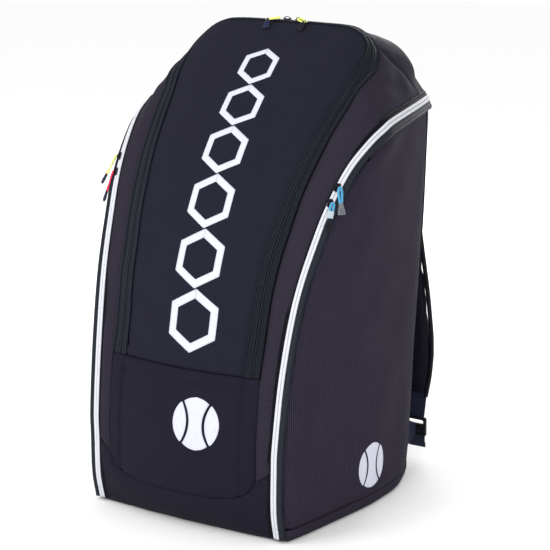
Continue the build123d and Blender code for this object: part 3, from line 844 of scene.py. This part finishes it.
for hand, side in SIDES.items():
    door = f"{hand}_door"
    keys = np.array([np.concatenate(row) for row in SIDE_ZIP])
    line = spline(keys, 260)
    path = line[:, :3]
    tangent = np.gradient(path, axis=0)
    tangent /= np.linalg.norm(tangent, axis=1, keepdims=True)

    def straight(v):
        v = v - (v * tangent).sum(1, keepdims=True) * tangent
        return v / np.linalg.norm(v, axis=1, keepdims=True)

    fore, flank_way = straight(line[:, 3:6]), straight(line[:, 6:9])
    in_front = np.clip((450 - path[:, 2:]) / 70, 0, 1)
    aft = straight(flank_way * 0.2 - fore * 0.8 - in_front * np.array([0, 0.42, 0]))
    out = np.cross(aft - fore, tangent)
    out /= np.linalg.norm(out, axis=1, keepdims=True)
    start = int(np.argmax(path[:, 2] >= BASE_TOP))

    def beside(width, lift):
        """A line along the zip, width from its middle (positive on the door) and lifted off it."""
        if width < 0:
            return path - fore * width + out * lift
        turned = np.clip((width - 10.0) / 6.0, 0, 1) * 0.5
        return path + (aft * (1 - turned) + flank_way * turned) * width + out * lift

    def zip_strip(name, profile, material, body, slot, *nodes, first=0, last=None):
        """A strip along the side zip: profile is (distance from the middle, height) pairs."""
        fine = spline([(w, h, 0) for w, h in profile], 24)
        grid = np.stack([beside(w, h)[first:last] for w, h, _ in fine], 1) * np.array([side, 1, 1])
        facing = normals(grid)
        outwards = out[first:last] * np.array([side, 1, 1])
        if (facing * outwards[:, None]).sum() < 0:
            grid = grid[:, ::-1]
        return show(skin(name, grid, SIDE_ZIP_THICK), material, body, slot, *nodes)

    bag_white = [(-w, h) for w, h in WHITE_HALF]
    bag_tape = [(-w, h) for w, h in TAPE_HALF]
    node = f"{hand}_zip_bag_tape"
    zip_strip(f"{hand}_zip_bag_white", bag_white, WHITE, "bag", "side_zipper", node)
    zip_strip(f"{hand}_zip_bag_dark", bag_tape, DARK, "bag", "zipper_tape")
    node = f"{hand}_zip_door_tape"
    zip_strip(f"{hand}_zip_door_white", WHITE_HALF, WHITE, door, "side_zipper", node, first=start)
    zip_strip(f"{hand}_zip_door_dark", DOOR_TAPE, TAPE, door, "zipper_tape", first=start)
    foot = start + 1
    zip_strip(f"{hand}_zip_foot_white", WHITE_HALF, WHITE, "bag", "side_zipper", last=foot)
    zip_strip(f"{hand}_zip_foot_dark", DOOR_TAPE, TAPE, "bag", "zipper_tape", last=foot)

    edge = beside(13.2, -0.3)
    rear_top = edge[-1] + np.array([0, 1.5, 0])
    rear_foot = (110, 164.2, BASE_TOP)
    rear_edge = [rear_foot] + [(x + 0.6, y - 5.8, z) for x, y, z in BACK_EDGE[1:-1]] + [rear_top]
    floor_edge = [edge[start]] + [(x, y, BASE_TOP) for x, y in [*BASE_SIDE, (132, 134)]] + [rear_foot]
    top_edge = [*edge[EDGE_TURN::12], rear_top]
    front_edge = [*edge[start:EDGE_TURN:12], edge[EDGE_TURN]]
    panel = coons(floor_edge, top_edge, front_edge, rear_edge, 90, 130)
    panel = panel * np.array([side, 1, 1])
    if side < 0:
        panel = panel[:, ::-1]
    x_side, y_side = lengths(panel)
    near_zip = x_side if side > 0 else x_side[:, -1:] - x_side
    creases = 2.2 * np.exp(-near_zip / 50) * ripple(x_side, y_side, (70, 52), 61 + side)
    creases = creases + 1.5 * ripple(x_side, y_side, (70, 420), 65 + side)
    shoulder = 5.5 * (1 - np.exp(-near_zip / 13)) * np.exp(-near_zip / 110)
    creases = (creases + shoulder) * (1 - np.exp(-edge_distance(panel) / 8))
    panel = sewn(panel, 3.0, 1.5, 5, 1.2, (110, 150), 63 + side, extra=creases, seams=(0.15, 1, 1, 1))
    piece = skin(f"{hand}_side_cloth", panel, SIDE_THICK, (side, 0, 0))
    show(piece, FLANK, door, "side_fabric", f"{hand}_side_panel")
    inner = panel[4:-4, 4:-4]
    piece = skin(f"{hand}_side_lining_cloth", inner - normals(inner) * 4.2, LINING_THICK)
    show(piece, LINING, door, "lining", f"{hand}_side_lining")
    if side > 0:
        right_panel = panel

    # Partition: a slack sheet between the compartments
    rows = []
    for z in np.linspace(9, 548, 60):
        ys = np.linspace(np.interp(z, *zip(*PARTITION_FRONT)), np.interp(z, *zip(*PARTITION_BACK)), 40)
        rows.append(np.stack([np.full(40, PARTITION_X * side), ys, np.full(40, z)], 1))
    sheet = np.array(rows)
    sheet[..., 0] += 0.8 * ripple(*lengths(sheet), (120, 120), 71 + side)
    partition = skin(f"{hand}_partition_cloth", sheet, PARTITION_THICK)
    show(partition, LINING, "bag", "lining", f"partition_{hand}")

# ---- print


def on_grid(grid, x, y):
    """Points on a grid at distances x from its middle column and y along that column."""
    gx, gy = lengths(grid)
    mid = grid.shape[1] // 2
    rows = np.interp(y, gy[:, mid], np.arange(len(grid)))
    r0 = np.clip(rows.astype(int), 0, len(grid) - 2)
    fr = (rows - r0)[:, None]
    placed_at = []
    for k in range(len(x)):
        line = grid[r0[k]] * (1 - fr[k]) + grid[r0[k] + 1] * fr[k]
        at = gx[r0[k]] - gx[r0[k], mid]
        placed_at.append([np.interp(x[k], at, line[:, c]) for c in range(3)])
    return np.array(placed_at)


def printed(name, grid, shapes, body):
    """Thin raised print on a grid; each shape is a grid of (x, y) places."""
    n_all = normals(grid)
    parts = []
    for number, shape in enumerate(shapes):
        flat = shape.reshape(-1, 2)
        top, low = (
            on_grid(grid + n_all * lift, flat[:, 0], flat[:, 1]).reshape(*shape.shape[:2], 3)
            for lift in (0.35, -0.1)
        )
        if (normals(top) * (top - low)).sum() < 0:
            top = top[:, ::-1]
        parts.append(skin(f"{name}_{number}", top, 0.4))
    return show(joined(name, parts), PRINT, body, "side_zipper")


def hexagon(cx, cy, size, width):
    """A hexagon ring as a closed strip of places."""
    turns = [k * math.pi / 3 for k in range(7)]
    corners = [(cx + size * math.sin(turn), cy + size * math.cos(turn)) for turn in turns]
    rows = []
    for (ax, ay), (bx, by) in zip(corners, corners[1:]):
        for t in np.linspace(0, 1, 10, endpoint=False):
            rows.append((ax + (bx - ax) * t, ay + (by - ay) * t))
    rows.append(rows[0])
    outer = np.array(rows)
    middle = np.array([cx, cy])
    return np.stack([middle + (outer - middle) * s for s in np.linspace(1, 1 - width / size, 5)], 1)


def ball(cx, cy, radius, gap):
    """A disc cut in three by two curved seams, as strips of places."""
    ys = np.linspace(-0.995, 0.995, 40)
    half = np.sqrt(1 - ys**2)
    bend = 0.34 + 0.42 * ys**2
    cut = np.minimum(bend, half)
    made = []
    for low, high in ((-half, -cut - gap), (-cut + gap, cut - gap), (cut + gap, half)):
        keep = high - low > 0.02
        rows = []
        for y, a, b in zip(ys[keep], low[keep], high[keep]):
            xs = np.linspace(a, b, 9)
            rows.append(np.stack([cx + radius * xs, np.full(9, cy + radius * y)], 1))
        made.append(np.array(rows))
    return made


rings = []
top_of_last = 20.0
for k in range(6):
    size = 38.0 - 2.0 * k
    rings.append(hexagon(14 - 3.4 * k, top_of_last + size, size, 0.3 * size))
    top_of_last += 2 * size
printed("flap_print", flap, rings, "flap")
printed("lower_print", lower, ball(32, 90, 32, 0.06), "bag")
printed("side_print", right_panel, ball(4, 40, 29, 0.06), "right_door")

# ---- padding


def puffed(obj, cap, pressure=4.0, voxel=5.0):
    """The pad swollen by a short cloth simulation, no point further than cap millimetres."""
    remesh = obj.modifiers.new("even", "REMESH")
    remesh.mode = "VOXEL"
    remesh.voxel_size = voxel * MM
    bake(obj)
    start = points_of(obj.data)
    cloth = obj.modifiers.new("swell", "CLOTH")
    cloth.settings.use_pressure = True
    cloth.settings.uniform_pressure_force = pressure
    cloth.settings.effector_weights.gravity = 0
    cloth.settings.quality = 5
    cloth.point_cache.frame_start = 1
    cloth.point_cache.frame_end = 20
    for step in range(1, 21):
        bpy.context.scene.frame_set(step)
    bake(obj)
    bpy.context.scene.frame_set(1)
    move = points_of(obj.data) - start
    far = np.linalg.norm(move, axis=1, keepdims=True)
    moved(obj, start + move * np.minimum(1, cap / np.maximum(far, 1e-6)))
    finer = obj.modifiers.new("finer", "SUBSURF")
    finer.levels = 1
    bake(obj)
    obj.data.polygons.foreach_set("use_smooth", [True] * len(obj.data.polygons))
    return obj


def bake(obj):
    """Applies the object's modifiers to its mesh."""
    bpy.context.view_layer.update()
    graph = bpy.context.evaluated_depsgraph_get()
    made = bpy.data.meshes.new_from_object(obj.evaluated_get(graph))
    made.name = obj.name
    obj.modifiers.clear()
    obj.data = made


def lay(obj):
    """Cloth coordinates from a pad's own x and height."""
    co = points_of(obj.data)
    set_lie(obj.data, np.stack([co[:, 0], co[:, 2], np.zeros(len(co))], 1))


def moved(obj, places):
    """Moves the points of a mesh to those places in millimetres."""
    obj.data.vertices.foreach_set("co", (places * MM).astype(np.float32).ravel())
    obj.data.update()


PAD_FRONT = 170.5


def shrunk(width, height, radius, middle, front, steps):
    """Rings of a flat pad: each step is (depth behind front, how far the outline has moved in)."""
    rings = []
    for depth, shrink in steps:
        sx, sz = 1 - 2 * shrink / width, 1 - 2 * shrink / height
        ring = []
        for x, z in rounded(width, height, radius, middle):
            ring.append((middle[0] + (x - middle[0]) * sx, front + depth, middle[1] + (z - middle[1]) * sz))
        rings.append(ring)
    return rings


PAD_STEPS = [(0.3, 5.0), (0.6, 2.0), (4.0, 0.6), (7.0, 1.2), (8.4, 4.0), (8.8, 8.0)]
YOKE_STEPS = [(0.2, 1.5), (0.6, 0.3), (1.6, 0.0), (2.3, 0.6), (2.6, 2.0)]


def back_pad(name, node, middle, width, height, radius, channels):
    """A back pad with sewn channels across it."""
    pad = puffed(tube(name, shrunk(width, height, radius, middle, PAD_FRONT, PAD_STEPS)), 6.0)
    co = points_of(pad.data)
    co[:, 1] = np.clip(co[:, 1], PAD_FRONT, None)
    depth = np.clip((co[:, 1] - PAD_FRONT) / 6, 0, 1)
    for level in channels:
        co[:, 1] -= 3.2 * depth * np.exp(-(((co[:, 2] - level) / 3.2) ** 2))
    co[:, 1] = np.minimum(co[:, 1], PAD_FRONT + 14)
    moved(pad, co)
    lay(pad)
    show(pad, NET, "bag", "padding_mesh", node)
    rim = rounded(width + 1, height + 1, radius, middle)
    rim = [(x, PAD_FRONT + 1.6, z) for x, z in rim + rim[:1]]
    show(round_cord(f"{name}_piping", rim, 1.5), BINDING, "bag", "padding_mesh")


for hand, side in SIDES.items():
    names = (f"{hand}_back_cushion", f"back_pad_{hand}")
    back_pad(*names, (side * 52, 343.5), 76, 235, 18, (285, 343, 401))
back_pad("lumbar_cushion", "lumbar_pad", (0, 145), 180, 108, 22, (127, 163))

# ---- yoke, handle, straps



def web(name, path, width, thick, body, *nodes, hint=(0, 1, 0)):
    """A piece of webbing along a path."""
    show(tube(name, strap_rings(path, width, thick, hint, 0.35)), WEBBING, body, "webbing", *nodes)


yoke = shrunk(174, 58, 8, (0, 516), PAD_FRONT + 0.6, YOKE_STEPS)
show(tube("yoke_cloth", yoke), WEBBING, "bag", "webbing", "strap_yoke")

handle_half = [(0, 179.6, 508.2), (22, 179.6, 507.5), (34, 179.6, 505), (41.5, 179, 512)]
handle_half += [(42.5, 177.8, 530), (43, 176.6, 547)]
web("handle_web", spline(both(handle_half), 110), 19, 1.9, "handle", "handle_webbing")
grip_path = spline([(-30, 179.4, 506.9), (-12, 179.4, 508), (12, 179.4, 508), (30, 179.4, 506.9)], 40)
ends = 1 - 0.22 * np.exp(-(np.minimum(np.arange(41), 40 - np.arange(41)) / 2.0) ** 2)
grip = tube("handle_grip", strap_rings(grip_path, 26 * ends, 7.4 * ends, (0, 1, 0), 0.72, 32))
show(grip, PLASTIC, "handle", "padding_mesh", "handle_sleeve")

# outer face y, inner edge x, outer edge x, height
STRAP_ROWS = [
    (192, 38, 88, 490), (204, 38, 92, 455), (209, 46, 98, 400), (208, 55, 107, 330), (211, 62, 113, 279),
    (219, 66, 117, 224), (228, 68, 118, 168), (231, 72, 117, 139), (230, 79, 115, 112),
    (226, 86, 112, 85),
]
LOCK_X = 99
STRAP_CORE = 9.2  # thickness of a strap before its cloth swells
STRAP_WAY = (0, 1, 0.1)  # roughly the outward direction along a strap
for hand, side in SIDES.items():
    strap = f"{hand}_strap"
    middle = [(side * (a + b) / 2, y - 6.5, z) for y, a, b, z in STRAP_ROWS]
    path = spline(middle, 90)
    widths = [(z, b - a) for _, a, b, z in STRAP_ROWS[::-1]]
    wide = np.interp(path[:, 2], *zip(*widths))
    near_end = np.exp(-(((path[:, 2] - 85) / 14) ** 2)) + np.exp(-(((path[:, 2] - 490) / 12) ** 2))
    thick = STRAP_CORE * (1 - 0.35 * near_end)
    pad = tube(f"{hand}_strap_cushion", strap_rings(path, wide - 5, thick, STRAP_WAY, 0.5, 40))
    puffed(pad, 3.0, 3.0, 4.5)
    lay(pad)
    show(pad, STRAP, strap, "padding_mesh", f"{hand}_strap_pad")
    _, aside, outwards = frames(path, STRAP_WAY)
    for label, way in (("inner", -1), ("outer", 1)):
        edge_path = path + aside * (way * (wide / 2 - 2.2))[:, None]
        rings_edge = strap_rings(edge_path, 4.2, 7.5, STRAP_WAY, 0.7, 14)
        show(tube(f"{hand}_strap_{label}_binding", rings_edge), BINDING, strap, "webbing")
    lock_x = side * LOCK_X
    anchor = path + outwards * (thick / 2 + 2.4)[:, None]
    web(f"{hand}_strap_top_web", anchor[38:78], 20, 1.4, strap, hint=STRAP_WAY)

    def down(*places, count=24):
        """A curve in the plane of the lock through those places, each depth and height."""
        return spline([(lock_x, y, z) for y, z in places], count)

    low_web = down((221, 92), (218.4, 84), (215.6, 70), (213.2, 60), (211.8, 56))
    web(f"{hand}_lock_web", low_web, 24.4, 1.9, strap, f"{hand}_strap_webbing")
    holes = [rounded(26, 5, 2.2, (0, shift)) for shift in (-6.5, 6.5)]
    lock_place = placed((lock_x, 211.5, 47), (-1, 0, 0), (0, 1, 0))
    lock = plate(f"{hand}_lock_plate", rounded(33, 26, 3.2), holes, 4.6, 1.0, lock_place)
    show(lock, PLASTIC, strap, "moulded_plastic", f"{hand}_ladder_lock")
    tail = down((215.4, 45), (216.4, 38), (216.0, 28), (216.8, 19))
    tail_parts = [tube(f"{hand}_tail_web", strap_rings(tail, 24.4, 1.7, (0, 1, 0), 0.35))]
    hem = down((217.4, 24), (217.9, 20), (217.6, 17.4), count=10)
    tail_parts.append(tube(f"{hand}_tail_hem", strap_rings(hem, 24.8, 2.0, (0, 1, 0), 0.5)))
    tail_name = f"{hand}_tail"
    show(joined(tail_name, tail_parts), WEBBING, tail_name, "webbing", f"{hand}_webbing_tail")
    wing_low = [(lock_x, 170.6, 17), (lock_x, 190, 27), (lock_x, 208, 38.5)]
    wing_high = [(lock_x, 170.6, 67), (lock_x, 190, 60), (lock_x, 208, 51.5)]
    wing = loft([wing_low, wing_high], 16, 24)
    wing[..., 0] += 1.2
    wing[..., 0] += 0.6 * ripple(*lengths(wing), (50, 50), 81)
    piece = skin(f"{hand}_wing_cloth", wing, 2.4)
    show(piece, WEBBING, "bag", "webbing", f"{hand}_strap_wing")

# ---- sliders and pulls


def slider(body, origin, along, outward):
    """A zipper slider: a waisted body with side flanges and a bridge."""
    outline = []
    for k in range(48):
        turn = 2 * math.pi * k / 48
        px = 5.4 * squared(math.cos(turn), 0.6)
        waist = 1 - 0.16 * math.exp(-((px + 1.5) / 2.2) ** 2)
        outline.append((px, 4.1 * squared(math.sin(turn), 0.6) * waist))
    origin = np.array(origin, float)
    z = np.array(Vector(outward).normalized())
    x = np.array(placed((0, 0, 0), along, outward).col[0][:3])
    parts = []
    for label, height in (("low", 0.6), ("top", 2.1)):
        place = placed(origin + z * height, along, outward)
        parts.append(plate(f"{body}_{label}", outline, [], 1.0, 0.35, place))
    core = placed(origin + z * 1.35, along, outward)
    parts.append(plate(f"{body}_core", rounded(8.5, 5.2, 2.0), [], 1.2, 0.2, core))
    arch = [(-4.2, 2.3), (-3.6, 3.6), (-1.8, 4.3), (0.6, 4.4), (2.6, 3.9), (3.8, 2.9), (4.2, 2.2)]
    arch_path = spline([origin + x * a + z * h for a, h in arch], 24)
    parts.append(tube(f"{body}_bridge", strap_rings(arch_path, 2.4, 1.0, z, 0.7, 12)))
    show(joined(f"{body}_metal", parts), METAL, body, "slider_metal", body)


END_LONG = 13.2  # length of a pull's moulded end
# Rings of that end: distance along it, width, thickness
END_RINGS = [
    (-1.2, 3.2, 2.4), (-0.2, 4.6, 3.4), (1.8, 5.6, 3.8), (4.0, 6.6, 3.6), (7.0, 8.2, 3.3),
    (END_LONG - 3.0, 9.6, 3.1), (END_LONG - 0.8, 9.8, 3.0), (END_LONG, 9.0, 2.2),
]


def pull(body, hinge, hang, face, cord_long, cord, end_dir, end_face, end, slot, sleeve=False, thick=1.15):
    """A cord loop through a slider's bridge with a flared moulded end."""
    hinge, hang, face = (np.array(v, float) for v in (hinge, hang, face))
    hang = hang / np.linalg.norm(hang)
    face = face / np.linalg.norm(face)
    across = np.cross(face, hang)
    end_dir = np.array(end_dir, float) / np.linalg.norm(end_dir)
    end_face = np.array(end_face, float)
    end_face = end_face - end_dir * (end_face @ end_dir)
    end_face /= np.linalg.norm(end_face)
    shape = [(1.0, 1.6), (5.0, 1.9), (cord_long * 0.55, 1.7), (cord_long - 2.5, 1.3), (cord_long + 2.5, 1.0)]
    first = [hinge + hang * a + across * b + face * 0.5 * math.sin(a / 5) for a, b in shape]
    other = [hinge + hang * a - across * b - face * 0.5 * math.sin(a / 5) for a, b in shape]
    path = spline(other[::-1] + [hinge - hang * 0.2] + first, 90)
    show(round_cord(f"{body}_loop", path, thick), cord, body, slot, f"{body}_cord")
    if sleeve:
        band = spline([hinge + hang * 9.0, hinge + hang * (cord_long - 0.6)], 12)
        show(tube(f"{body}_sleeve", strap_rings(band, 7.4, 4.2, face, 0.6)), PALE, body, "moulded_plastic")
    end_across = np.cross(end_face, end_dir)
    start = hinge + hang * cord_long
    rings_end = []
    for a, w, t in END_RINGS:
        turn = np.linspace(0, 2 * math.pi, 28, endpoint=False)
        px = squared(np.cos(turn), 0.6) * w / 2
        py = squared(np.sin(turn), 0.6) * t / 2
        rings_end.append(start + end_dir * a + px[:, None] * end_across + py[:, None] * end_face)
    tab = tube(f"{body}_tab_body", rings_end)
    ribs = []
    for number, a in enumerate((6.2, 8.4, 10.6)):
        for label, way in (("front", 1), ("back", -1)):
            half = 2.6 + 0.25 * number
            mid = start + end_dir * a + end_face * way * 1.7
            bar = spline([mid - end_across * half, mid, mid + end_across * half], 6)
            ribs.append(round_cord(f"{body}_rib_{label}_{number}", bar, 0.55, 8))
    show(joined(f"{body}_tab", [tab, *ribs]), end, body, "moulded_plastic", f"{body}_end")


TOP_HEIGHT = 583.4
for hand, side in SIDES.items():
    slider(f"top_slider_{hand}", (side * 9, 71.3, TOP_HEIGHT + 0.1), (1, 0, 0), (0, 0.05, 1))
    loop = ((side * 14, 62, TOP_HEIGHT + 4), (side * 0.9, -0.4, -0.15), (0, -0.3511, 0.9363), 15, YELLOW)
    turned = ((-side * 0.2, -0.64, -0.75), (0, -0.76, 0.65), NAVY_END if side < 0 else BLACK_END)
    pull(f"top_pull_{hand}", *loop, *turned, "cord_yellow")



class SidePulls:
    """What differs between the pulls of the two side zips: pairs are for the lower and upper one."""

    def __init__(self, cords, slots, ends, long, radius, lift, tilts, lean=0.0, settle=0.0):
        self.cords, self.slots, self.ends = cords, slots, ends
        self.long, self.radius, self.tilts = long, radius, tilts
        self.lift = lift  # of the cord's hinge off the slider's middle
        self.lean = lean  # of the lower one along the zip
        self.settle = settle  # how far a slider lies towards the middle of the bag


RED_SLOTS, BLUE_SLOTS = ("cord_red", "cord_yellow"), ("cord_blue", "cord_blue")
PULLS = {
    "left": SidePulls((RED, YELLOW), RED_SLOTS, (NAVY_END, NAVY_END), 26, 1.15, 3.7, (18, 28)),
    "right": SidePulls(
        (BLUE, BLUE), BLUE_SLOTS, (BLACK_END, GREY_END), 18, 1.5, 6.0, (12, 12), lean=-0.3, settle=2.8
    ),
}
for hand, side in SIDES.items():
    kind = PULLS[hand]
    for number, place_name in enumerate(("lower", "upper")):
        tilt = math.radians(kind.tilts[number])
        body = f"{hand}_slider_{place_name}"
        box_low, box_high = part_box(body)
        middle = np.array((box_low + box_high) / 2) / MM - np.array([side, 0.4, 0]) * kind.settle
        outward = np.array([side * 0.8, -0.6, 0.2107])
        outward /= np.linalg.norm(outward)
        slider(body, middle - outward * 2.1, (side * 0.16, 0.51, 0.845), outward)
        level = np.array([side * 0.8, -0.6, 0])
        hang = level * math.sin(tilt) - np.array([0, 0, math.cos(tilt)])
        face = level * math.cos(tilt) + np.array([0, 0, math.sin(tilt)])
        hang = hang + np.cross(face, hang) * (kind.lean if number == 0 else 0)
        loop = (middle + outward * kind.lift, hang, face, kind.long, kind.cords[number])
        end = (hang, face, kind.ends[number], kind.slots[number])
        sleeve = side > 0 and number == 0
        pull(f"{hand}_pull_{place_name}", *loop, *end, sleeve=sleeve, thick=kind.radius)

# ---- CAD nodes kept as they are

stiffener = frame["nodes"]["base_stiffener"]
stiffener.data.materials.clear()
stiffener.data.materials.append(BOARD)

# ---- floor, light and camera

FLOOR_HALF = 6.0  # metres
floor_mesh = bpy.data.meshes.new("floor")
corners = [(x * FLOOR_HALF, y * FLOOR_HALF, 0) for x, y in ((-1, -1), (1, -1), (1, 1), (-1, 1))]
floor_mesh.from_pydata(corners, [], [(0, 1, 2, 3)])
floor = linked("floor", floor_mesh)
pale = bpy.data.materials.new("pale_floor")
pale.use_nodes = True
tune(pale.node_tree.nodes["Principled BSDF"], Base_Color=(0.96, 0.96, 0.96, 1), Roughness=0.9)
floor_mesh.materials.append(pale)

world = bpy.data.worlds.new("studio")
world.use_nodes = True
tune(world.node_tree.nodes["Background"], Color=(1, 1, 1, 1), Strength=1.0)
bpy.context.scene.world = world


LAMP_TARGET = (0, 0, 0.3)


def lamp(name, place, size, power):
    """A soft square light that faces the bag."""
    data = bpy.data.lights.new(name, "AREA")
    data.energy = power
    data.size = size
    obj = linked(name, data)
    obj.location = place
    obj.rotation_euler = (Vector(LAMP_TARGET) - Vector(place)).to_track_quat("-Z", "Y").to_euler()


bpy.context.scene.view_settings.view_transform = "Standard"
lamp("key", (-1.2, -2.2, 1.9), 1.6, 32)
lamp("fill", (1.5, -2.4, 1.0), 1.2, 30)
lamp("back", (-0.9, 2.5, 1.3), 1.5, 40)

AZIMUTH = math.radians(35.2)
ELEVATION = math.radians(12.8)
TARGET = Vector((0, 0.032, 0.270))
DISTANCE = 2.56
camera_data = bpy.data.cameras.new("camera")
camera_data.lens = 134.2
camera = linked("camera", camera_data)
level = math.cos(ELEVATION)
direction = Vector((math.sin(AZIMUTH) * level, -math.cos(AZIMUTH) * level, math.sin(ELEVATION)))
camera.location = TARGET + direction * DISTANCE
camera.rotation_euler = (-direction).to_track_quat("-Z", "Y").to_euler()
bpy.context.scene.camera = camera
